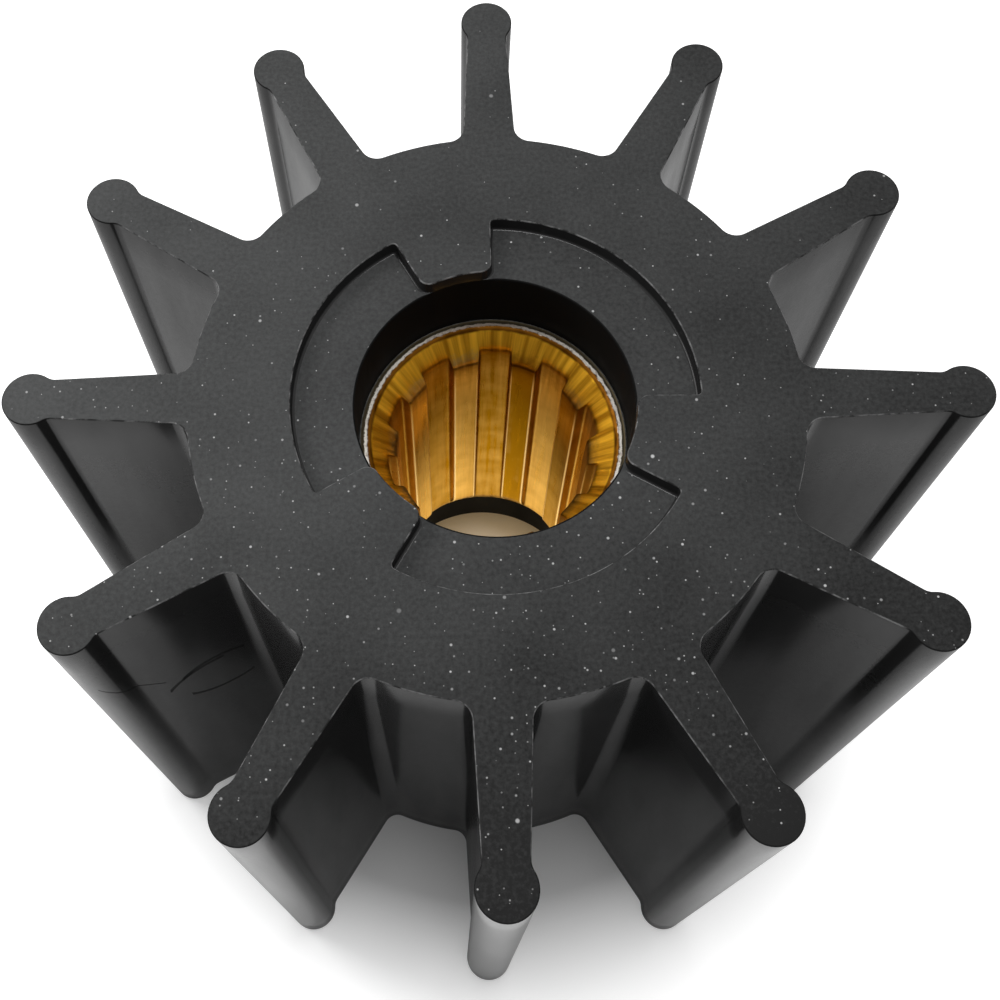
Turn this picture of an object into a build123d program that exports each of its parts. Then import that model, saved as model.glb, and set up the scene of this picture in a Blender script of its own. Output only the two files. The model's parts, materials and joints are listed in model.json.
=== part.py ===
from build123d import *
import math
import os

# Flexible impeller of a raw-water pump. The shaft axis is Z, the underside is at Z = 0
# and the first vane points along +X. All lengths are in millimetres, all angles in degrees.

# Whole moulding
LENGTH = 50.0              # hub and vanes alike, along the shaft
TIP_DIAMETER = 65.0        # over the bulbs of the vanes
HUB_DIAMETER = 40.4        # between the vanes
VANES = 12

# One vane, which thins outwards and ends in a round bulb
ROOT_THICKNESS = 3.7       # where the blade leaves the hub
NECK_THICKNESS = 2.7       # where the blade enters the bulb
BULB_SWELL = 0.52          # the bulb stands this far out from each side of the neck
ROOT_FILLET = 1.2
NECK_BLEND = 1.0
BLADE_SINK = 2.0           # the blade starts this far inside the hub's surface

# Splined bush, moulded into the hub
SHAFT_DIAMETER = 14.8      # over the splines of the shaft
SPLINES = 10
SPLINE_DEPTH = 0.7         # from the groove's floor to the tooth's tip
SPLINE_WIDTH = 2.3        # the groove's parallel walls
SPLINE_TURN = 105.0        # direction of one tooth, in line with the middle of a tab
LEAD_IN = 1.2              # both mouths are this much wider than the groove's floor
UPPER_LEAD_ANGLE = 45.0    # short chamfer at the upper mouth, from the axis
LOWER_LEAD_ANGLE = 20.0    # long taper at the lower mouth
RIM_WIDTH = 0.7            # flat of the bush's end face that stays bare
LAP = 2.2                  # the hub laps over the rest of that end face
BUSH_DEPTH = 7.0           # the bush lies this far below the upper end of the hub
BUSH_LIFT = 9.1            # and this far above the lower end
FLUTES = 16
FLUTE_RADIUS = 0.8
WAIST_WIDTH = 4.0          # ring groove round the middle, which locks the bush endways
WAIST_DEPTH = 0.8

# Seat in the upper face, broken into arcs by tabs of full height
SEAT_WIDTH = 4.15          # from the hub's bore to the seat's wall
SEAT_DEPTH = 1.2
TABS = 3
TAB_ANGLE = 29.5
TAB_TURN = 105.0           # direction of the first tab, midway between two vanes
TAB_CORNER = 0.8

# Plain round seat in the underside
UNDER_SEAT_DEPTH = 3.0

GROOVE_RADIUS = SHAFT_DIAMETER / 2
TOOTH_RADIUS = GROOVE_RADIUS - SPLINE_DEPTH
MOUTH_RADIUS = GROOVE_RADIUS + LEAD_IN
BORE_RADIUS = MOUTH_RADIUS + RIM_WIDTH
BUSH_RADIUS = BORE_RADIUS + LAP
SEAT_RADIUS = BORE_RADIUS + SEAT_WIDTH
BUSH_LENGTH = LENGTH - BUSH_DEPTH - BUSH_LIFT
HUB_RADIUS = HUB_DIAMETER / 2
BULB_RADIUS = NECK_THICKNESS / 2 + BULB_SWELL
BULB_CENTRE = TIP_DIAMETER / 2 - BULB_RADIUS


def on_radius(shape, radius):
    """Corners of a flat shape that lie on a circle round the axis."""
    return [v for v in shape.vertices() if abs(Vector(v.X, v.Y, 0).length - radius) < 0.01]


def vane_plan():
    """One vane seen along the shaft: a tapered blade and its bulb, blended at the neck."""
    taper = (ROOT_THICKNESS - NECK_THICKNESS) / 2 / (BULB_CENTRE - HUB_RADIUS)
    start = HUB_RADIUS - BLADE_SINK
    start_half = ROOT_THICKNESS / 2 + taper * BLADE_SINK
    neck_half = NECK_THICKNESS / 2
    blade = make_face(
        Polyline(
            (start, -start_half),
            (BULB_CENTRE, -neck_half),
            (BULB_CENTRE, neck_half),
            (start, start_half),
            close=True,
        )
    )
    vane = blade + Pos(BULB_CENTRE, 0) * Circle(BULB_RADIUS)
    neck = [v for v in vane.vertices() if start < v.X < BULB_CENTRE and abs(v.Y) > neck_half]
    return fillet(neck, NECK_BLEND)


def body_plan():
    """Hub and vanes as one outline, with a fillet at both sides of every root."""
    vanes = PolarLocations(0, VANES) * vane_plan()
    plan = Circle(HUB_RADIUS) + vanes
    return fillet(on_radius(plan, HUB_RADIUS), ROOT_FILLET)


def tab_plan():
    """One tab between two arcs of the seat: a slice of a ring with round inner corners."""
    reach = 2 * SEAT_RADIUS
    half = TAB_ANGLE / 2
    upper = Vector(reach, 0, 0).rotate(Axis.Z, half)
    lower = Vector(reach, 0, 0).rotate(Axis.Z, -half)
    tab = make_face(Polyline((0, 0), lower, upper, close=True)) - Circle(BORE_RADIUS)
    return fillet(on_radius(tab, BORE_RADIUS), TAB_CORNER)


def upper_seat():
    """The arcs of the seat, as the solid that they take out of the upper face."""
    tabs = PolarLocations(0, TABS, start_angle=TAB_TURN) * tab_plan()
    plan = Circle(SEAT_RADIUS) - tabs
    return Pos(0, 0, LENGTH - SEAT_DEPTH) * extrude(plan, SEAT_DEPTH)


def under_seat():
    """The plain seat, as the solid that it takes out of the underside."""
    return extrude(Circle(SEAT_RADIUS), UNDER_SEAT_DEPTH)


def bush_blank():
    """The bush before its bore is cut: a sleeve with flutes and a waist that grip the rubber."""
    flutes = PolarLocations(BUSH_RADIUS, FLUTES) * Circle(FLUTE_RADIUS)
    sleeve = extrude(Circle(BUSH_RADIUS) - flutes, BUSH_LENGTH)
    ring = Circle(2 * BUSH_RADIUS) - Circle(BUSH_RADIUS - WAIST_DEPTH)
    waist = Pos(0, 0, (BUSH_LENGTH - WAIST_WIDTH) / 2) * extrude(ring, WAIST_WIDTH)
    return Pos(0, 0, BUSH_LIFT) * (sleeve - waist)


def spline_plan():
    """The splined hole: a round hole at the tooth tips and a parallel groove for each spline."""
    slot = Pos(GROOVE_RADIUS / 2, 0) * Rectangle(GROOVE_RADIUS * 1.2, SPLINE_WIDTH)
    groove = slot & Circle(GROOVE_RADIUS)
    first = SPLINE_TURN + 180 / SPLINES
    return Circle(TOOTH_RADIUS) + PolarLocations(0, SPLINES, start_angle=first) * groove


def lead_in(angle):
    """The cone that opens one mouth of the bush and narrows upwards to the tooth tips."""
    depth = (MOUTH_RADIUS - TOOTH_RADIUS) / math.tan(math.radians(angle))
    return Cone(MOUTH_RADIUS, TOOTH_RADIUS, depth, align=(Align.CENTER, Align.CENTER, Align.MIN))


def splined_bush():
    """Bush with its splined bore and a lead-in at both mouths."""
    hole = Pos(0, 0, BUSH_LIFT) * extrude(spline_plan(), BUSH_LENGTH)
    lower = Pos(0, 0, BUSH_LIFT) * lead_in(LOWER_LEAD_ANGLE)
    upper = Pos(0, 0, LENGTH - BUSH_DEPTH) * (Rot(180, 0, 0) * lead_in(UPPER_LEAD_ANGLE))
    return bush_blank() - hole - lower - upper


def rubber_impeller():
    """Hub and vanes in one moulding, round the bush, with a seat in either end."""
    body = extrude(body_plan(), LENGTH)
    bore = extrude(Circle(BORE_RADIUS), LENGTH)
    return body - bore - upper_seat() - under_seat() - bush_blank()


os.makedirs("parts", exist_ok=True)
export_step(rubber_impeller(), "parts/rubber_impeller.step")
export_step(splined_bush(), "parts/splined_bush.step")
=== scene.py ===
"""Looks of a flexible pump impeller: moulded rubber round a broached brass bush."""
import json
import math

import bmesh
import bpy
import numpy as np
from mathutils import Matrix, Vector
from mathutils.geometry import delaunay_2d_cdt


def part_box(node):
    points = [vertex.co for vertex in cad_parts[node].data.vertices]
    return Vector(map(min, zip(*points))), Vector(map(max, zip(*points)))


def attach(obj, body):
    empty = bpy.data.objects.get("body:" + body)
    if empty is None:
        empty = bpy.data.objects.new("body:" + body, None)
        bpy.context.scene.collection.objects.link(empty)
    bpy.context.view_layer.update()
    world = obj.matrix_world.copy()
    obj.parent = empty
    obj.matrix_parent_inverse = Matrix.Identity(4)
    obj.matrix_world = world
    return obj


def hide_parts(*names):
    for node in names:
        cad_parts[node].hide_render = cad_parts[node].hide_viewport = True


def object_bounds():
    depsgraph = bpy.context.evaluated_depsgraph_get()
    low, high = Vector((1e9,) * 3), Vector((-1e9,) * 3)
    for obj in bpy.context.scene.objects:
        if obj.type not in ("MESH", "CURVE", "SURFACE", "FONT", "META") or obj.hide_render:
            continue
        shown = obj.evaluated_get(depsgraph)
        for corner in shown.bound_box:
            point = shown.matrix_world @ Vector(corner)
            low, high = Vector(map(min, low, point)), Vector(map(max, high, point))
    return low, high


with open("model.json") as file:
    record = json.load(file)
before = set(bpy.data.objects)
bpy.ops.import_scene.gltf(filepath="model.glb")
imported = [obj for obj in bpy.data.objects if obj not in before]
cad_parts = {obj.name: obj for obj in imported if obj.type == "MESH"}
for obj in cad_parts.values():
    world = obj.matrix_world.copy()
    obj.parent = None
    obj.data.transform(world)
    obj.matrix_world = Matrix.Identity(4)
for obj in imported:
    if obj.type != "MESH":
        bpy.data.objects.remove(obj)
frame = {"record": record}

CAD_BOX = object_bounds()
MM = 0.001

# Heights, and the radii of the mounts, in millimetres, read from the frame
MOUNTS = {mount["name"]: mount for mount in frame["record"]["mounts"]}
LENGTH = CAD_BOX[1][2] / MM
BUSH_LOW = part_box("splined_bush")[0][2] / MM
BUSH_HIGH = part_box("splined_bush")[1][2] / MM
BORE_RADIUS = MOUNTS["cap_socket"]["dims"]["r_mm"]
SEAT_RADIUS = MOUNTS["seal_seat"]["dims"]["r_mm"]
UNDER_SEAT_DEPTH = MOUNTS["seal_seat"]["dims"]["length_mm"]
GROOVE_RADIUS = MOUNTS["shaft_spline"]["dims"]["r_mm"]

# Rubber body, in millimetres and degrees
TIP_RADIUS = 32.5
HUB_RADIUS = 20.2
VANES = 12
ROOT_THICKNESS = 3.7
NECK_THICKNESS = 2.7
BULB_SWELL = 0.52
BULB_RADIUS = NECK_THICKNESS / 2 + BULB_SWELL
BULB_CENTRE = TIP_RADIUS - BULB_RADIUS
ROOT_FILLET = 1.2
NECK_BLEND = 1.0
SEAT_DEPTH = 1.2
TABS = 3
TAB_ANGLE = 29.5
TAB_TURN = 105.0
TAB_CORNER = 0.8
SEAT_CORNER = 0.3          # in plan, where an arc of the seat ends at a tab
OUTER_EDGE = 0.11          # rounding of the vanes' and the hub's edges
MOUTH_EDGE = 0.12          # rounding of the seat's and the bore's edges
SEAT_FOOT = 0.2            # fillet at the foot of the seat's wall
FOOT_FADE = 0.6            # that fillet grows from nothing over this distance from the bore
EDGE_FADE = 0.9            # and the bore's edge rounding over this distance from a tab
EDGE_ROWS = 5              # rows of points in a rounded edge
WALL_ROWS = 10             # and between the two edges of the outer wall
GAP_COLUMNS = 61           # columns of the bore's wall from one tab to the next
MATT, SMOOTH, DULL_SHADED = range(3)  # finishes, in the order of the rubber's materials
# Painted shade on the bulbs' edges begins between these distances from the axis
BULB_SIDES = (28.6, 29.4)  # the bulbs' dark edges begin between these distances from the axis
RUBBED_TIPS = (30.4, 31.4)  # and the tips' gloss between these

# Splined bush, in millimetres and degrees
BUSH_RADIUS = 11.5
FLUTES = 16
FLUTE_RADIUS = 0.8
WAIST_WIDTH = 4.0
WAIST_DEPTH = 0.8
SPLINES = 10
SPLINE_DEPTH = 0.7
SPLINE_WIDTH = 2.3
SPLINE_TURN = 105.0        # direction of one tooth
LEAD_IN = 1.2              # both mouths are this much wider than the groove's floor
TOOTH_RADIUS = GROOVE_RADIUS - SPLINE_DEPTH
MOUTH_RADIUS = GROOVE_RADIUS + LEAD_IN
LOWER_LEAD_ANGLE = 20.0    # the lower mouth's long taper; the upper one is a 45 degree chamfer
GROOVE_CORNER = 0.2
TOOTH_CORNER = 0.16
CROWN_EDGE = 0.22          # rounding where the teeth and grooves run into a lead-in
UPPER_LEAD_END = 2.2       # the close rows of points at either mouth end this far in
LOWER_LEAD_END = 5.7
ROW_GAP = 0.8              # from them to the wide rows between
BORE_ROWS = (26, 12, 24)   # of points: at the upper mouth, between, and at the lower mouth
MOUTH_LIP = 0.1            # from the mouth to the lip round it, and how deep the bore's rows start
RIM_BEAD = 0.1             # from the rubber's edge to the bead beside it

SHARP_ANGLE = 42           # between two faces, from which an edge isn't smoothed
WELD = 1e-4                # points nearer than this are one

# Unevenness of the lead-in: its depth, how it drifts with the height in radians a
# millimetre, and of each wave the number of turns, share and start
BURR = 0.11
BURR_DRIFT = 0.9
BURR_WAVES = (
    (7, 0.3, 0.4), (13, 0.25, 1.9), (29, 0.2, 0.7), (61, 0.15, 2.6), (97, 0.1, 1.1),
)

# Camera, fitted to the vane tips, the hub and the bore of the photo
VIEW_TURN = -4.308         # degrees about Z; the camera stands on the -Y side
VIEW_ELEVATION = 70.09
VIEW_DISTANCE = 118.8 * MM  # from the middle of the shaft axis
VIEW_PAN = 3.115           # degrees off the middle, then tilt and roll
VIEW_TILT = 5.828
VIEW_ROLL = 3.70
SENSOR = 36.0
LENS = 52.62
SHIFT = (0.0826, -0.1284)

# Scrapes on one vane's side: three points of each, as distance from the axis and height
# in millimetres, and half its width
SCRAPED_VANE = 210.0       # degrees
SCRAPED_SIDE = (0.9, 2.6)  # that side lies between these distances from the vane's middle plane
SCRAPES = (
    ((27.7, 32.3), (25.8, 34.0), (23.2, 34.5), 0.26),
    ((26.5, 29.4), (24.4, 28.0), (21.6, 28.5), 0.26),
    ((31.4, 41.2), (29.7, 37.8), (27.6, 34.8), 0.09),
)

# Dust on the end faces: size of a cell and share of the cells that hold a fleck, then the
# fleck's width as a part of the cell, and a shift of the pattern
DUST = (
    (0.9, 0.19, 0.13, (3.1, 7.7, 0)),
    (0.6, 0.12, 0.13, (5.3, 1.9, 0)),
    (3.2, 0.12, 0.07, (9.4, 2.2, 0)),
)

# Colours of the brass, and of the light and shade painted on it
DARK_BRASS_AND_SHADE = (0.30, 0.16, 0.016, 1)
PALE_BRASS_AND_REFLECTION = (1.0, 0.75, 0.30, 1)
CORNER_HIGHLIGHT = (1.0, 0.88, 0.6, 1)
MOUTH_SHADE = (0.22, 0.09, 0.004, 1)
LEAD_DARK = (0.46, 0.21, 0.01, 1)
LEAD_PALE = (0.92, 0.5, 0.035, 1)
RIM_BROWN = (0.12, 0.045, 0.004, 1)
TORN_EDGE_HIGHLIGHT = (0.95, 0.9, 0.82, 1)

# Light, and a tan glow painted on the floor under the bore, as the camera and as a mirror sees it,
# for the light that the brass sends down the bore
WORLD_LEVEL = 0.26
ROOM_LEVEL = 0.12          # what a reflection sees of the room on the camera's side
LAMP_AIM = (0, 0, 0.02)
LAMPS = (                  # place and size in metres, power in watts
    ("overhead", (0.02, 0.03, 0.55), 0.2, 1.5),
    ("left", (-0.13, 0.06, 0.16), 0.08, 0.14),
)
FLOOR_REACH = 0.6          # half the floor's width, in metres
BORE_GLOW_TAN = (0.62, 0.45, 0.25, 1)
MIRRORED_BORE_GLOW_TAN = (1.0, 0.76, 0.44, 1)


def heading(way):
    """Angle of a direction from the X axis, in radians."""
    return math.atan2(way[1], way[0])


def arc(centre, radius, start, end, count, side=1):
    """Points of an arc, each with the unit vector that points away from the centre.

    The angles are even steps from start to end, in radians. A side of -1 turns the
    vectors round, for an arc whose centre lies in the air. A path's rows are x, y and
    the two parts of the vector that points out of the solid.
    """
    angle = np.linspace(start, end, count)
    away = np.column_stack((np.cos(angle), np.sin(angle)))
    return np.hstack((np.asarray(centre) + radius * away, side * away))


def straight(start, end, normal, count):
    """Even steps on a straight line, all with one normal."""
    step = np.linspace(0, 1, count)[:, None]
    points = np.asarray(start) * (1 - step) + np.asarray(end) * step
    return np.hstack((points, np.tile(normal, (count, 1))))


def rotated(path, degrees):
    """A path turned about the shaft axis."""
    cosine, sine = math.cos(math.radians(degrees)), math.sin(math.radians(degrees))
    spin = np.array(((cosine, sine), (-sine, cosine)))
    return np.hstack((path[:, :2] @ spin, path[:, 2:] @ spin))


def mirrored(path):
    """A path reflected in the X axis, walked the other way."""
    return path[::-1] * (1, -1, 1, -1)


def around(path, copies, start=0.0):
    """A closed path from one that runs through an even share of a full turn."""
    return np.vstack([rotated(path, start + 360 * k / copies) for k in range(copies)])


def touching(point, along, normal, middle, radius, fillet, way):
    """Centre of a circle that touches a straight line and, from outside, a circle.

    The centre lies one fillet radius off the line, and its distance from the circle's
    middle is the sum of both radii, which is a quadratic in the step along the line. Way
    is 1 or -1, for one or the other of its two roots.
    """
    reach = point - middle + fillet * normal
    fall = reach @ along
    root = math.sqrt(fall**2 - reach @ reach + (radius + fillet) ** 2)
    return point + (way * root - fall) * along + fillet * normal


def body_path():
    """Outline of hub and vanes: bulb, neck blend, tapered blade, root fillet and hub arc.

    Each piece is an arc or a straight line that leaves the last one at a tangent. One
    half of a vane is mirrored, and the vane is repeated round the axis.
    """
    taper = (ROOT_THICKNESS - NECK_THICKNESS) / 2 / (BULB_CENTRE - HUB_RADIUS)
    along = np.array((1.0, -taper)) / math.hypot(1.0, taper)
    normal = np.array((taper, 1.0)) / math.hypot(1.0, taper)
    bulb = np.array((BULB_CENTRE, 0.0))
    hub = np.zeros(2)
    point = np.array((BULB_CENTRE, NECK_THICKNESS / 2))
    neck = touching(point, along, normal, bulb, BULB_RADIUS, NECK_BLEND, -1)
    root = touching(point, along, normal, hub, HUB_RADIUS, ROOT_FILLET, 1)
    half = np.vstack((
        arc(bulb, BULB_RADIUS, 0, heading(neck - bulb), 20),
        arc(neck, NECK_BLEND, heading(bulb - neck), heading(-normal), 9, -1)[1:],
        straight(neck - NECK_BLEND * normal, root - ROOT_FILLET * normal, normal, 14)[1:-1],
        arc(root, ROOT_FILLET, heading(-normal), heading(-root), 12, -1),
        arc(hub, HUB_RADIUS, heading(root), math.pi / VANES, 9)[1:],
    ))
    return around(np.vstack((mirrored(half)[:-1], half[:-1])), VANES)


def mouth_path():
    """Edge of the seat's arcs and the tabs' ends, and how many points one tab's half has.

    From the middle of a tab: an arc of the bore, the tab's round corner, its radial side,
    a small corner in plan, and the seat's arc to the middle of the gap. That half is
    mirrored for the next tab's side, and the stretch is repeated.
    """
    half_angle = math.radians(TAB_ANGLE / 2)
    side = np.array((math.cos(half_angle), math.sin(half_angle)))
    normal = np.array((-side[1], side[0]))
    inner = math.sqrt((BORE_RADIUS + TAB_CORNER) ** 2 - TAB_CORNER**2)
    outer = math.sqrt((SEAT_RADIUS - SEAT_CORNER) ** 2 - SEAT_CORNER**2)
    tab = inner * side - TAB_CORNER * normal
    corner = outer * side + SEAT_CORNER * normal
    tab_end = arc((0, 0), BORE_RADIUS, 0, heading(tab), 9, -1)
    half = np.vstack((
        tab_end,
        arc(tab, TAB_CORNER, heading(-tab) + 2 * math.pi, heading(normal), 9)[1:],
        straight(inner * side, outer * side, normal, 8)[1:-1],
        arc(corner, SEAT_CORNER, heading(-normal), heading(corner), 6, -1),
        arc((0, 0), SEAT_RADIUS, heading(corner), math.pi / TABS, 34, -1)[1:],
    ))
    other = rotated(mirrored(half), 360 / TABS)
    return around(np.vstack((half[:-1], other[:-1])), TABS, TAB_TURN), len(tab_end)


def spline_path():
    """Outline of the splined bore: groove floor, parallel wall, tooth tip and their corners."""
    half_width = SPLINE_WIDTH / 2
    floor, foot_off = GROOVE_RADIUS - GROOVE_CORNER, half_width - GROOVE_CORNER
    foot = np.array((math.sqrt(floor**2 - foot_off**2), foot_off))
    crest, tip_off = TOOTH_RADIUS + TOOTH_CORNER, half_width + TOOTH_CORNER
    tip = np.array((math.sqrt(crest**2 - tip_off**2), tip_off))
    half = np.vstack((
        arc((0, 0), GROOVE_RADIUS, 0, heading(foot), 8, -1),
        arc(foot, GROOVE_CORNER, heading(foot), math.pi / 2, 5, -1)[1:],
        straight((foot[0], half_width), (tip[0], half_width), (0, -1), 6)[1:-1],
        arc(tip, TOOTH_CORNER, -math.pi / 2, heading(-tip), 6),
        arc((0, 0), TOOTH_RADIUS, heading(tip), math.pi / SPLINES, 7, -1)[1:],
    ))
    first = SPLINE_TURN + 180 / SPLINES
    return around(np.vstack((mirrored(half)[:-1], half[:-1])), SPLINES, first)


def quarter():
    """Sine and one less the cosine of even steps through a right angle."""
    angle = np.linspace(0, math.pi / 2, EDGE_ROWS)
    return np.sin(angle), 1 - np.cos(angle)


def carried(path, inset, height):
    """Wall with a row for each inset and height: the path, moved in along its normals."""
    inset = np.reshape(inset, (len(inset), -1))
    x = path[:, 0] - inset * path[:, 2]
    y = path[:, 1] - inset * path[:, 3]
    z = np.broadcast_to(np.reshape(height, (len(height), -1)), x.shape)
    return np.stack((x, y, z), -1)


def turned(angle, radius, height):
    """Surface of a revolution whose radius and height may also change with the angle."""
    radius = np.broadcast_to(radius, (len(radius), len(angle)))
    height = np.broadcast_to(height, radius.shape)
    return np.stack((radius * np.cos(angle), radius * np.sin(angle), height), -1)


class Skin:
    """The points and faces of one piece, in millimetres, gathered surface by surface."""

    def __init__(self):
        self.points = []
        self.faces = []
        self.smooth = []
        self.finish = []
        self.count = 0

    def keep(self, points, faces, smooth, finish):
        """One surface more, its faces numbered on from those before it."""
        self.points.append(points)
        self.faces.extend((np.asarray(faces) + self.count).tolist())
        self.smooth.append(np.full(len(faces), smooth))
        self.finish.append(np.full(len(faces), finish))
        self.count += len(points)

    def wall(self, grid, inward=False, finish=MATT):
        """A closed wall, its rows from top to bottom and its columns counter-clockwise."""
        rows, columns = grid.shape[:2]
        number = np.arange(rows * columns).reshape(rows, columns)
        number = np.hstack((number, number[:, :1]))
        corners = (number[:-1, :-1], number[1:, :-1], number[1:, 1:], number[:-1, 1:])
        faces = np.stack(corners, -1).reshape(-1, 4)
        self.keep(grid.reshape(-1, 3), faces[:, ::-1] if inward else faces, True, finish)

    def sheet(self, loops, up, finish):
        """A flat face inside the first loop and outside the second."""
        points = np.vstack(loops)
        sizes = [len(loop) for loop in loops]
        rings = np.split(np.arange(len(points)), np.cumsum(sizes)[:-1])
        plan = [Vector(point) for point in points[:, :2]]
        found = delaunay_2d_cdt(plan, [], [ring.tolist() for ring in rings], 1, 1e-7, True)
        corners = np.array([tuple(corner) for corner in found[0]])
        faces = np.array([face for face, source in zip(found[2], found[5]) if source == [0]])
        height = np.full((len(corners), 1), points[0, 2])
        a, b, c = (corners[faces[:, k]] for k in range(3))
        area = np.cross(b - a, c - a)
        flip = (area < 0) == up
        faces[flip] = faces[flip][:, ::-1]
        self.keep(np.hstack((corners, height)), faces, False, finish)

    def piece(self, name, slot, materials, node):
        """The finished object: welded, in metres, and standing for its CAD node."""
        mesh = bpy.data.meshes.new(name)
        mesh.from_pydata(np.vstack(self.points) * MM, [], self.faces)
        mesh.polygons.foreach_set("use_smooth", np.concatenate(self.smooth))
        mesh.polygons.foreach_set("material_index", np.concatenate(self.finish))
        for material in materials:
            mesh.materials.append(material)
        welded = bmesh.new()
        welded.from_mesh(mesh)
        bmesh.ops.remove_doubles(welded, verts=welded.verts, dist=WELD * MM)
        welded.to_mesh(mesh)
        welded.free()
        mesh.set_sharp_from_angle(angle=math.radians(SHARP_ANGLE))
        piece = bpy.data.objects.new(name, mesh)
        bpy.context.scene.collection.objects.link(piece)
        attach(piece, "root")
        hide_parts(node)
        return piece


def fluted(angle):
    """Radius of the bush's outside: a circle with round flutes cut into it."""
    pitch = 2 * math.pi / FLUTES
    off = np.abs((angle + pitch / 2) % pitch - pitch / 2)
    side = BUSH_RADIUS * np.sin(off)
    cut = BUSH_RADIUS * np.cos(off) - np.sqrt(np.maximum(FLUTE_RADIUS**2 - side**2, 0))
    return np.where(side < FLUTE_RADIUS, cut, BUSH_RADIUS)


def sleeve(angle):
    """Rows of radius and height down the bush's outside, between the hub's two laps."""
    outside = fluted(angle)
    waist = np.full_like(outside, BUSH_RADIUS - WAIST_DEPTH)
    middle = (BUSH_LOW + BUSH_HIGH) / 2
    radii = (outside, outside, waist, waist, outside, outside)
    heights = (
        BUSH_HIGH, middle + WAIST_WIDTH / 2, middle + WAIST_WIDTH / 2,
        middle - WAIST_WIDTH / 2, middle - WAIST_WIDTH / 2, BUSH_LOW,
    )
    return np.array(radii), np.array(heights)[:, None]


def rubber_body(materials):
    """Hub and vanes: outer wall, two end faces, the seats, the bore and the bush's bed."""
    skin = Skin()
    sine, rise = quarter()
    outline = body_path()
    inset = np.concatenate((1 - sine, np.zeros(WALL_ROWS), 1 - sine[::-1])) * OUTER_EDGE
    height = np.concatenate((
        LENGTH - rise * OUTER_EDGE,
        np.linspace(LENGTH - OUTER_EDGE, OUTER_EDGE, WALL_ROWS + 2)[1:-1],
        rise[::-1] * OUTER_EDGE,
    ))
    outer = carried(outline, inset, height)
    skin.wall(outer[:EDGE_ROWS], finish=MATT)
    skin.wall(outer[EDGE_ROWS - 1:1 - EDGE_ROWS], finish=SMOOTH)
    skin.wall(outer[-EDGE_ROWS:], finish=MATT)

    path, tab_points = mouth_path()
    floor = LENGTH - SEAT_DEPTH
    reach = np.hypot(path[:, 0], path[:, 1]) - BORE_RADIUS
    fade = np.clip(reach / FOOT_FADE, 0, 1)
    inset = np.vstack((
        np.tile((1 - sine)[:, None] * MOUTH_EDGE, len(path)),
        -(1 - sine[::-1])[:, None] * SEAT_FOOT * fade,
    ))
    height = np.vstack((
        np.tile((LENGTH - rise * MOUTH_EDGE)[:, None], len(path)),
        floor + rise[::-1][:, None] * SEAT_FOOT * fade,
    ))
    mouth = carried(path, inset, height)
    skin.wall(mouth[:EDGE_ROWS], inward=True, finish=MATT)
    skin.wall(mouth[EDGE_ROWS - 1:], inward=True, finish=SMOOTH)
    skin.sheet([outer[0], mouth[0]], up=True, finish=MATT)

    # The bore's columns: the ends of the tabs and, between them, even steps round the seat
    third = len(path) // TABS
    angle = np.arctan2(path[:, 1], path[:, 0])
    gap_angle = math.radians(360 / TABS) - 2 * (angle[tab_points - 1] - angle[0])
    steps = np.linspace(0, gap_angle, GAP_COLUMNS)
    from_tab = np.minimum(steps, gap_angle - steps) * BORE_RADIUS
    ease = np.clip(from_tab / EDGE_FADE, 0, 1) ** 2
    around_bore = []
    round_off = []
    for k in range(TABS):
        first = k * third
        ending = first + tab_points - 1
        around_bore += [angle[first:ending], angle[ending] + steps]
        around_bore += [angle[first + third - tab_points + 2:first + third]]
        round_off += [np.zeros(tab_points - 1), ease, np.zeros(tab_points - 2)]
    column = np.concatenate(around_bore)
    round_off = np.concatenate(round_off) * MOUTH_EDGE
    bed_radius, bed_height = sleeve(column)
    plain = np.ones_like(column)
    radius = np.vstack((
        BORE_RADIUS + (1 - sine)[:, None] * round_off,
        [BORE_RADIUS * plain],
        bed_radius,
        [BORE_RADIUS * plain, BORE_RADIUS * plain, SEAT_RADIUS * plain],
        (SEAT_RADIUS + (1 - sine[::-1]) * MOUTH_EDGE)[:, None] * plain,
    ))
    height = np.vstack((
        floor - rise[:, None] * round_off,
        [BUSH_HIGH * plain],
        bed_height * plain,
        [BUSH_LOW * plain, UNDER_SEAT_DEPTH * plain, UNDER_SEAT_DEPTH * plain],
        (rise[::-1] * MOUTH_EDGE)[:, None] * plain,
    ))
    inside = turned(column, radius, height)
    skin.wall(inside, inward=True, finish=DULL_SHADED)
    skin.sheet([outer[-1], inside[-1]], up=False, finish=MATT)
    columns = len(column) // TABS
    for k in range(TABS):
        first = k * third + tab_points - 1
        foot = mouth[-1][first:first + third - 2 * (tab_points - 1) + 1]
        begin = k * columns + tab_points - 1
        edge = inside[0][begin:begin + len(steps)]
        skin.sheet([np.vstack((foot, edge[::-1][1:-1]))], up=True, finish=MATT)
    return skin.piece("moulded_rubber", "rubber", materials, "rubber_impeller")


def ragged(angle, height):
    """Unevenness of the broached lead-in, in millimetres: a sum of waves round the bore."""
    wave = np.zeros(np.broadcast(angle, height).shape)
    for turns, share, start in BURR_WAVES:
        wave = wave + share * np.sin(turns * angle + start + height * BURR_DRIFT)
    return BURR * wave


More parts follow.
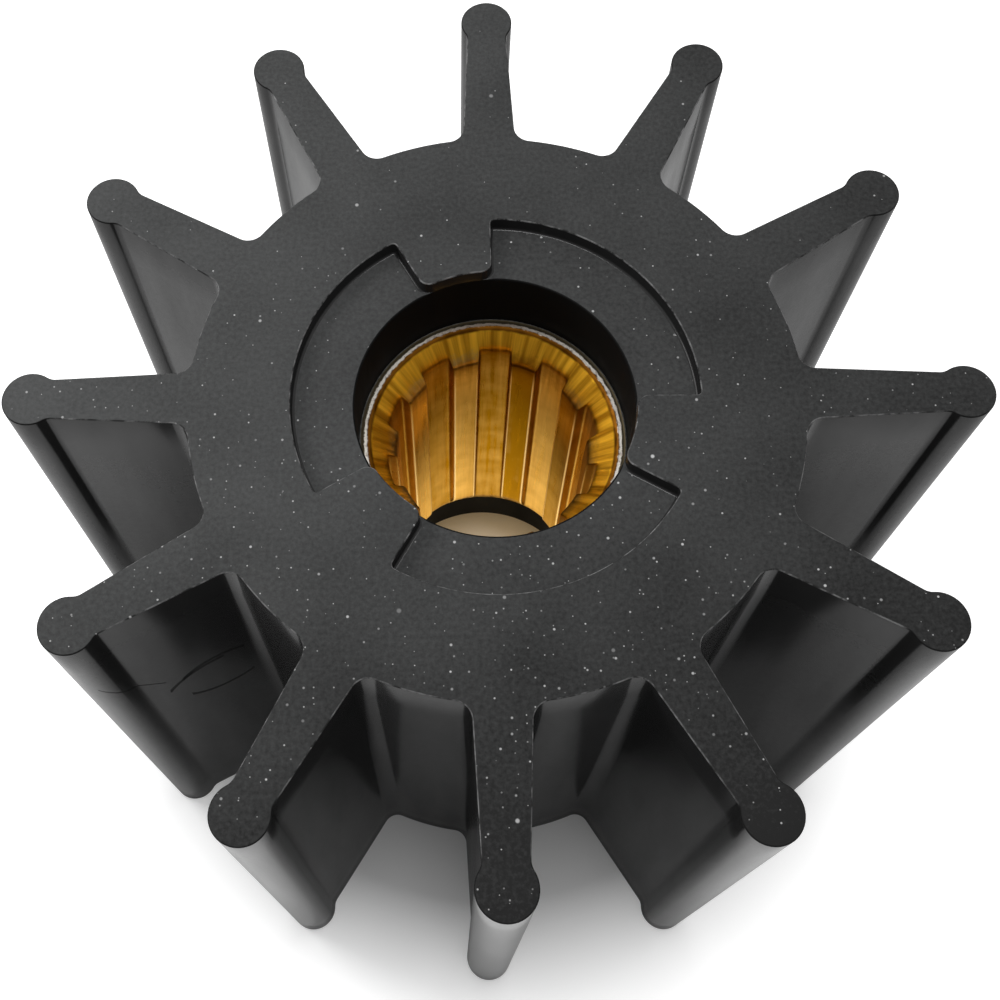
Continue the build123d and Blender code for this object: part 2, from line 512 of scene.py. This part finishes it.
def brass_bush(materials):
    """Sleeve with a splined bore, a lead-in at both mouths, and flutes in the rubber.

    The bore's outline is carried down the axis, and each of its points is pushed out to
    the cone of a lead-in where that cone is wider. The push is half the sum of the gap to
    the cone and the root of its square plus an edge's square, which rounds the teeth's ends.
    The end face has a low bead at the rubber's edge and a round lip at the mouth, as rows
    of radius and height above the face.
    """
    skin = Skin()
    path = spline_path()
    angle = np.arctan2(path[:, 1], path[:, 0])
    reach = np.hypot(path[:, 0], path[:, 1])
    wide_high = BUSH_HIGH - UPPER_LEAD_END - ROW_GAP
    wide_low = BUSH_LOW + LOWER_LEAD_END + ROW_GAP
    height = np.concatenate((
        BUSH_HIGH - np.linspace(MOUTH_LIP, UPPER_LEAD_END, BORE_ROWS[0]),
        np.linspace(wide_high, wide_low, BORE_ROWS[1]),
        BUSH_LOW + np.linspace(LOWER_LEAD_END, MOUTH_LIP, BORE_ROWS[2]),
    ))[:, None]
    upper = MOUTH_RADIUS - (BUSH_HIGH - height) + ragged(angle, height)
    lower = MOUTH_RADIUS - (height - BUSH_LOW) * math.tan(math.radians(LOWER_LEAD_ANGLE))
    over = np.maximum(upper, lower) - reach
    opened = (over + np.sqrt(over**2 + CROWN_EDGE**2)) / 2
    scale = 1 + opened / reach
    bore = np.stack((path[:, 0] * scale, path[:, 1] * scale, height + 0 * scale), -1)
    sleeve_radius, sleeve_height = sleeve(angle)
    plain = np.ones_like(angle)
    lip = MOUTH_RADIUS + MOUTH_LIP
    bead = BORE_RADIUS - RIM_BEAD
    face = np.array((
        (bead + 0.10, 0.00), (bead + 0.07, 0.05), (bead, 0.08), (bead - 0.07, 0.05),
        (bead - 0.12, 0.00), (lip + 0.10, 0.00), (lip + 0.03, 0.03), (lip - 0.04, 0.00),
    ))
    radius = np.vstack((sleeve_radius[::-1], face[:, :1] * plain))
    rows = np.vstack((sleeve_height[::-1] * plain, (BUSH_HIGH + face[:, 1:]) * plain))
    top = turned(angle, radius, rows)
    foot = turned(angle, np.array(((MOUTH_RADIUS,), (BUSH_RADIUS,))), BUSH_LOW)
    foot[1] = top[0]
    skin.wall(np.vstack((top, bore, foot)), inward=True)
    return skin.piece("broached_brass", "brass", materials, "splined_bush")


def turn(degrees, axis):
    """Matrix that turns things about one axis."""
    return Matrix.Rotation(math.radians(degrees), 4, axis)


def add_camera():
    """A camera on a sphere round the middle of the part, aimed a little past it."""
    low, high = (Vector(corner) for corner in CAD_BOX)
    middle = Vector((0, 0, (low.z + high.z) / 2))
    orbit = turn(VIEW_TURN, "Z") @ turn(90 - VIEW_ELEVATION, "X")
    aim = turn(VIEW_PAN, "Y") @ turn(VIEW_TILT, "X") @ turn(VIEW_ROLL, "Z")
    data = bpy.data.cameras.new("camera")
    data.sensor_width = SENSOR
    data.lens = LENS
    data.shift_x, data.shift_y = SHIFT
    data.clip_start = 0.005
    camera = bpy.data.objects.new("camera", data)
    camera.matrix_world = (
        Matrix.Translation(middle) @ orbit @ Matrix.Translation((0, 0, VIEW_DISTANCE)) @ aim
    )
    bpy.context.scene.collection.objects.link(camera)
    bpy.context.scene.camera = camera


def add_lamp(name, place, size, power):
    """A square lamp of that size and power, which faces the middle of the part."""
    data = bpy.data.lights.new(name, "AREA")
    data.shape = "SQUARE"
    data.size = size
    data.energy = power
    lamp = bpy.data.objects.new(name, data)
    lamp.location = place
    aim = Vector(LAMP_AIM) - lamp.location
    lamp.rotation_euler = aim.to_track_quat("-Z", "Y").to_euler()
    bpy.context.scene.collection.objects.link(lamp)


class Value:
    """A number that runs through a material's nodes; arithmetic on it adds Math nodes."""

    def __init__(self, nodes, socket):
        self.nodes = nodes
        self.socket = socket

    def math(self, operation, *values):
        sockets = dict(enumerate(values))
        return self.nodes.node("ShaderNodeMath", {"operation": operation}, sockets)

    def __add__(self, other):
        return self.math("ADD", self, other)

    def __radd__(self, other):
        return self.math("ADD", other, self)

    def __sub__(self, other):
        return self.math("SUBTRACT", self, other)

    def __rsub__(self, other):
        return self.math("SUBTRACT", other, self)

    def __mul__(self, other):
        return self.math("MULTIPLY", self, other)

    def __rmul__(self, other):
        return self.math("MULTIPLY", other, self)

    def __lt__(self, other):
        return self.math("LESS_THAN", self, other)

    def __gt__(self, other):
        return self.math("GREATER_THAN", self, other)


class Nodes:
    """The nodes of a material or of the world, each by type, settings and sockets."""

    def __init__(self, tree):
        self.tree = tree

    def feed(self, socket, value):
        """A link into the socket, or a plain number or colour on it."""
        if isinstance(value, Value):
            self.tree.links.new(value.socket, socket)
        else:
            socket.default_value = value

    def node(self, kind, settings=None, sockets=None, output=0):
        """A node with its settings made first; output picks the socket that is returned."""
        node = self.tree.nodes.new(kind)
        for name, value in (settings or {}).items():
            setattr(node, name, value)
        for key, value in (sockets or {}).items():
            self.feed(node.inputs[key], value)
        return Value(self, node.outputs[output])

    def place(self, scale=(1, 1, 1), shift=(0, 0, 0)):
        """Object coordinates in millimetres, then stretched and moved."""
        here = self.node("ShaderNodeTexCoord", output="Object")
        per_mm = {"Vector": here, "Scale": tuple(1 / MM for _ in range(3))}
        here = self.node("ShaderNodeMapping", {}, per_mm)
        sockets = {"Vector": here, "Scale": scale, "Location": shift}
        return self.node("ShaderNodeMapping", {}, sockets)

    def noise(self, scale, detail, roughness=0.5, vector=None):
        sockets = {
            "Vector": vector or self.place(), "Scale": scale,
            "Detail": detail, "Roughness": roughness,
        }
        return self.node("ShaderNodeTexNoise", {}, sockets)

    def spread(self, value, low, high, new_low=0.0, new_high=1.0):
        """The value's range low to high, stretched to a new one and cut off at its ends."""
        sockets = {"Value": value, 1: low, 2: high, 3: new_low, 4: new_high}
        return self.node("ShaderNodeMapRange", {"clamp": True}, sockets)

    def mix(self, factor, first, second):
        """Colour between two others."""
        sockets = {0: factor, 6: first, 7: second}
        return self.node("ShaderNodeMix", {"data_type": "RGBA"}, sockets, output=2)

    def bump(self, height, strength, distance):
        sockets = {"Height": height, "Strength": strength, "Distance": distance}
        return self.node("ShaderNodeBump", {}, sockets)

    def axis(self, vector, name):
        return self.node("ShaderNodeSeparateXYZ", {}, {"Vector": vector}, output=name)

    def length(self, vector):
        settings = {"operation": "LENGTH"}
        return self.node("ShaderNodeVectorMath", settings, {0: vector}, output="Value")


class Finish(Nodes):
    """One material and its shader, whose constant sockets are given by name."""

    def __init__(self, name, **constants):
        self.material = bpy.data.materials.new(name)
        self.material.use_nodes = True
        super().__init__(self.material.node_tree)
        self.shader = self.tree.nodes["Principled BSDF"]
        for socket, value in constants.items():
            self.shader.inputs[socket.replace("_", " ")].default_value = value

    def shade(self, **sockets):
        """Links of the sockets that change over the surface."""
        for socket, value in sockets.items():
            self.feed(self.shader.inputs[socket.replace("_", " ")], value)


def grey(level, tint=(1.0, 1.0, 1.0)):
    """A grey of that level, or one with a tint, as an opaque colour."""
    return tuple(level * part for part in tint) + (1.0,)


def add_dust(finish, colour, size, share, width, shift):
    """Pale flecks on a level face: a round spot in some cells of a plan, each of its own size.

    The share of cells with a fleck grows towards -Y.
    """
    plan = finish.place(shift=shift)
    settings = {"voronoi_dimensions": "2D", "feature": "F1"}
    sockets = {"Vector": plan, "Scale": 1 / size, "Randomness": 1.0}
    distance = finish.node("ShaderNodeTexVoronoi", settings, sockets, output="Distance")
    pick = finish.node("ShaderNodeTexVoronoi", settings, sockets, output="Color")
    chance = finish.node("ShaderNodeSeparateColor", {}, {"Color": pick}, output="Red")
    small = finish.node("ShaderNodeSeparateColor", {}, {"Color": pick}, output="Green")
    pale = finish.node("ShaderNodeSeparateColor", {}, {"Color": pick}, output="Blue")
    near = finish.spread(finish.axis(finish.place(), "Y"), 18, -30, 0.15, 1.9)
    spot = finish.spread(distance * (1 + 1.6 * small), width, width * 0.5)
    spot = spot * (chance < near * share) * finish.spread(pale, 0, 1, 0.25, 1.0)
    return finish.mix(spot, colour, grey(0.5))


def rubber_face():
    """Matt moulded end faces: grain, clouds, painted sheen lighter to one side with painted shade to
    the front, painted highlights on the edges with painted shade on the bulbs' edges, and dust.
    """
    finish = Finish("matt rubber", Roughness=0.75, Specular_IOR_Level=0.16)
    clouds = finish.noise(0.12, detail=4.0)
    grain = finish.noise(3.5, detail=3.0, roughness=0.65)
    here = finish.place()
    # Painted sheen and shade: the face's main tone is lighter towards -X and darker towards -Y.
    painted_sheen_and_shade = finish.spread(finish.axis(here, "X"), 24, -30, 0.27, 0.75)
    painted_sheen_and_shade = painted_sheen_and_shade - finish.spread(finish.axis(here, "Y"), -8, -32, 0.0, 0.5)
    tone = finish.spread(clouds * 0.4 + grain * 0.6, 0.35, 0.65, -0.22, 0.22)
    colour = finish.mix(painted_sheen_and_shade + tone, grey(0.010), grey(0.078, (0.98, 1.0, 1.0)))
    # The rounded edges get a patchy painted highlight, and the bulbs' edges get painted shade.
    upright = finish.axis(finish.node("ShaderNodeTexCoord", output="Normal"), "Z")
    edge = finish.spread(upright.math("ABSOLUTE", upright), 0.97, 0.8)
    bulb = finish.spread(finish.length(finish.place(scale=(1, 1, 0))), *BULB_SIDES)
    painted_light_and_shade = finish.spread(finish.noise(0.9, detail=4.0, roughness=0.7), 0.42, 0.62, 0.02, 0.2)
    painted_edge_light_and_shade = finish.mix(bulb, finish.mix(painted_light_and_shade, grey(0), grey(1)), grey(0.002))
    colour = finish.mix(edge, colour, painted_edge_light_and_shade)
    for size, share, width, shift in DUST:
        colour = add_dust(finish, colour, size, share, width, shift)
    finish.shade(Base_Color=colour, Normal=finish.bump(grain, 0.35, 0.05 * MM))
    return finish.material


def circle_through(first, second, third):
    """Centre and radius of the circle on which three points lie."""
    sides = 2 * np.array((np.subtract(second, first), np.subtract(third, first)))
    squares = [np.dot(point, point) - np.dot(first, first) for point in (second, third)]
    centre = np.linalg.solve(sides, squares)
    return centre, math.dist(centre, first)


def scratches(finish):
    """Three curved scrapes on one vane's side, as thin rings cut off at their ends.

    Along is the distance from the axis in the vane's direction, and off the distance
    from the vane's middle plane. A scrape is where the distance from a circle's line is
    small, between the scrape's ends.
    """
    settings = {"rotation_type": "Z_AXIS", "invert": True}
    turn_back = {"Vector": finish.place(), "Angle": math.radians(SCRAPED_VANE)}
    here = finish.node("ShaderNodeVectorRotate", settings, turn_back)
    along, off, height = (finish.axis(here, name) for name in "XYZ")
    on_side = (off > SCRAPED_SIDE[0]) * (off < SCRAPED_SIDE[1])
    marks = 0
    for first, second, third, width in SCRAPES:
        centre, radius = circle_through(first, second, third)
        sockets = {"X": along - centre[0], "Y": height - centre[1], "Z": 0}
        away = finish.length(finish.node("ShaderNodeCombineXYZ", {}, sockets)) - radius
        line = finish.spread(away.math("ABSOLUTE", away), width, width * 0.4)
        low, high = sorted((first[0], third[0]))
        above = height > min(first[1], second[1], third[1]) - 0.3
        marks = marks + line * (along > low) * (along < high) * above
    return marks * on_side


def smooth_rubber():
    """Walls of the vanes and the seat: dark, under a thin waxy bloom with flow marks.

    The bloom is a weak coat. It is off in the scrapes, and the tips of the vanes on the
    -Y side are rubbed to a stronger gloss.
    """
    finish = Finish("smooth rubber", Roughness=0.6, Specular_IOR_Level=0.0, Coat_Roughness=0.16)
    flow = finish.noise(0.4, detail=3.0, vector=finish.place(scale=(1, 1, 0.15)))
    grain = finish.noise(2.5, detail=3.0)
    marks = scratches(finish)
    bloom = finish.spread(flow * 0.7 + grain * 0.3, 0.3, 0.7, 0.30, 0.40)
    tips = finish.spread(finish.length(finish.place(scale=(1, 1, 0))), *RUBBED_TIPS)
    rubbed = tips * finish.spread(finish.axis(finish.place(), "Y"), -12, -32, 0.0, 0.5)
    finish.shade(
        Base_Color=finish.mix(flow, grey(0.016), grey(0.024)),
        Coat_Weight=bloom * (1 - 0.75 * marks) + rubbed,
        Normal=finish.bump(grain - 2 * marks, 0.07, 0.05 * MM),
    )
    return finish.material


def dull_shaded_rubber():
    """Walls of the bore, which see little light: no bloom, only faint flow marks, and a base colour
    darker than the other walls' as painted shade.
    """
    finish = Finish("dull rubber", Specular_IOR_Level=0.02)
    flow = finish.noise(0.4, detail=3.0, vector=finish.place(scale=(1, 1, 0.15)))
    finish.shade(
        Base_Color=finish.mix(flow, grey(0.006), grey(0.010)),
        Roughness=finish.spread(flow, 0.3, 0.7, 0.5, 0.65),
    )
    return finish.material


def brass():
    """Broached brass: upright streaks, painted light and dark bands, painted shade below the mouth
    and a torn edge painted as a highlight.

    The teeth and grooves are told apart by the cosine of ten times the angle round the axis. Their
    light and dark are painted reflection and shade: to the left the grooves are darker and to the
    right the teeth are, and the bands in the middle are darkest. Bright lines at the teeth's corners
    are painted highlights. The streaks are noise on the point's place round a circle, so they run on
    up the lead-in. The end face goes, from the mouth outwards, through brown brass, a torn edge
    painted bright as a highlight with painted glints, black rubber flash and a grey line painted as a
    highlight at the rubber's own edge.
    """
    finish = Finish("broached brass", Specular_Tint=(1.0, 0.78, 0.42, 1))
    here = finish.place()
    flat = finish.place(scale=(1, 1, 0))
    across = finish.axis(here, "X")
    height = finish.axis(here, "Z")
    depth = BUSH_HIGH - height
    radius = finish.length(flat)
    unit = finish.node("ShaderNodeVectorMath", {"operation": "NORMALIZE"}, {0: flat})
    east, north = finish.axis(unit, "X"), finish.axis(unit, "Y")
    on_ring = finish.node(
        "ShaderNodeCombineXYZ", {}, {"X": 7 * east, "Y": 7 * north, "Z": 0.04 * height}
    )
    streak = finish.noise(2.4, detail=4.0, roughness=0.6, vector=on_ring)
    cloud = finish.noise(0.5, detail=3.0)
    torn = finish.noise(2.6, detail=4.0, roughness=0.7)
    turn_angle = north.math("ARCTAN2", north, east)
    phase = SPLINES * turn_angle - math.radians(SPLINES * SPLINE_TURN % 360)
    phase = phase.math("COSINE", phase)
    # Painted reflection and shade: light and dark bands by tooth and groove, the grooves darker to
    # the left and the teeth darker to the right.
    groove = finish.spread(phase, 0.12, -0.12)
    right = finish.spread(across, -3.0, 3.0)
    painted_light_and_shade = groove * (1 - right) + (1 - groove) * right
    # Painted shade: the middle of the bore is darker.
    middle = across - 1.5
    middle = finish.spread(middle.math("ABSOLUTE", middle), 1.0, 4.0, 0.4, 0.0)
    tone = finish.spread(streak * 0.6 + cloud * 0.4, 0.35, 0.65) * 0.45
    tone = tone + 0.55 * (1 - painted_light_and_shade) - middle
    colour = finish.mix(tone, DARK_BRASS_AND_SHADE, PALE_BRASS_AND_REFLECTION)
    # Painted highlight: bright lines at the teeth's corners, from a little below the mouth.
    corner = phase - 0.26
    corner = finish.spread(corner.math("ABSOLUTE", corner), 0.14, 0.06)
    colour = finish.mix(corner * finish.spread(depth, 2, 5), colour, CORNER_HIGHLIGHT)
    # Painted shade: darker brown below the mouth, reaching deeper to the right; it is also rougher
    # and bumpier.
    low_end = finish.spread(across, 3.0, 6.5, 8.0, 9.5)
    painted_mouth_shade = finish.spread(depth + 3.4 * torn + 4.0 * streak, 4.0, low_end, 1.0, 0.0)
    colour = finish.mix(painted_mouth_shade * 0.75, colour, MOUTH_SHADE)
    lead = finish.spread(depth + 1.2 * torn, 2.5, 1.7)
    bare = finish.mix(finish.spread(streak, 0.35, 0.65), LEAD_DARK, LEAD_PALE)
    colour = finish.mix(lead, colour, bare)
    near_end = 1 - (depth > 0.3)
    ring = radius + 0.35 * torn
    brown = finish.spread(radius, MOUTH_RADIUS - 0.2, MOUTH_RADIUS - 0.1) * near_end
    colour = finish.mix(brown, colour, RIM_BROWN)
    # The mouth's torn edge, painted near white as a highlight and less metallic, with painted glints
    # stronger to the left and right.
    edge = finish.spread(ring, MOUTH_RADIUS + 0.3, MOUTH_RADIUS + 0.38) * near_end
    glint = finish.spread(across.math("ABSOLUTE", across), 1, 6, 0.3, 1.0)
    glint = glint * finish.spread(torn, 0.36, 0.5, 0.5, 1.0)
    colour = finish.mix(edge * glint, colour, TORN_EDGE_HIGHLIGHT)
    flash = finish.spread(ring, BORE_RADIUS - 0.18, BORE_RADIUS - 0.12) * near_end
    colour = finish.mix(flash, colour, grey(0.003))
    # Painted highlight: a broken grey line at the rubber's own edge.
    line = finish.spread(radius, BORE_RADIUS - 0.12, BORE_RADIUS - 0.06) * near_end
    colour = finish.mix(line * finish.spread(torn, 0.4, 0.6, 0.35, 1.0), colour, grey(0.2))
    finish.shade(
        Base_Color=colour,
        Metallic=(1 - 0.6 * edge) * (1 - flash),
        Roughness=finish.spread(streak, 0.3, 0.7, 0.24, 0.36) + 0.16 * painted_mouth_shade,
        Normal=finish.bump(streak + 0.5 * painted_mouth_shade * torn, 0.3, 0.05 * MM),
    )
    return finish.material


def screen_ray(nodes):
    """1 for what the camera sees directly, in a mirror or through glass, 0 for light."""
    camera = nodes.node("ShaderNodeLightPath", output="Is Camera Ray")
    glossy = nodes.node("ShaderNodeLightPath", output="Is Glossy Ray")
    glass = nodes.node("ShaderNodeLightPath", output="Is Transmission Ray")
    return camera.math("MAXIMUM", camera.math("MAXIMUM", camera, glossy), glass)


def add_floor():
    """White paper that keeps the soft shadow and fades to plain white away from the part.

    In mirrors it turns white a little further out on the -Y side than elsewhere. Under
    the bore it has a painted tan glow, for light that the brass sends down the bore, to the camera
    and in mirrors.
    """
    mesh = bpy.data.meshes.new("floor")
    corners = [(x * FLOOR_REACH, y * FLOOR_REACH, 0) for x, y in ((-1, -1), (1, -1), (1, 1), (-1, 1))]
    mesh.from_pydata(corners, [], [(0, 1, 2, 3)])
    floor = bpy.data.objects.new("floor", mesh)
    bpy.context.scene.collection.objects.link(floor)
    finish = Finish("paper", Roughness=0.9, Base_Color=grey(0.88), Emission_Strength=1.0)
    far = finish.length(finish.place(scale=(1, 1, 0)))
    seen = screen_ray(finish)
    mirrored_ray = finish.node("ShaderNodeLightPath", output="Is Glossy Ray")
    shaded = mirrored_ray * finish.spread(finish.axis(finish.place(), "Y"), 0, -10)
    open_glow = finish.spread(far, 26, 40, 0.0, 0.65)
    shaded_glow = finish.spread(far, 34, 48, 0.0, 0.8)
    glow = open_glow * (1 - shaded) + shaded * shaded_glow
    white = finish.mix(glow * seen, grey(0), grey(1))
    # Painted light: a tan glow on the floor under the bore.
    painted_bore_glow = finish.mix(mirrored_ray, BORE_GLOW_TAN, MIRRORED_BORE_GLOW_TAN)
    near_axis = finish.spread(far, 12.5, 3, 0.0, 1.0) * seen
    finish.shade(Emission_Color=finish.mix(near_axis, white, painted_bore_glow))
    mesh.materials.append(finish.material)


def add_world():
    """Soft studio light, plain white for the camera, and a darker room behind the camera.

    Light that reaches matt surfaces is even. A reflection sees white above and behind the
    part, which falls off to the room's own level towards -Y.
    """
    world = bpy.data.worlds.new("studio")
    bpy.context.scene.world = world
    world.use_nodes = True
    nodes = Nodes(world.node_tree)
    background = world.node_tree.nodes["Background"]
    background.inputs["Color"].default_value = (1, 1, 1, 1)
    direction = nodes.node("ShaderNodeTexCoord", output="Generated")
    room = nodes.spread(nodes.axis(direction, "Y"), -0.9, -0.1, ROOM_LEVEL, 1.0)
    glossy = nodes.node("ShaderNodeLightPath", output="Is Glossy Ray")
    seen = screen_ray(nodes)
    strength = WORLD_LEVEL * (1 - seen) + seen * (1 - glossy * (1 - room))
    nodes.feed(background.inputs["Strength"], strength)


bpy.context.scene.view_settings.view_transform = "Standard"
add_camera()
add_world()
for name, place, size, power in LAMPS:
    add_lamp(name, place, size, power)
add_floor()
rubber_body([rubber_face(), smooth_rubber(), dull_shaded_rubber()])
brass_bush([brass()])
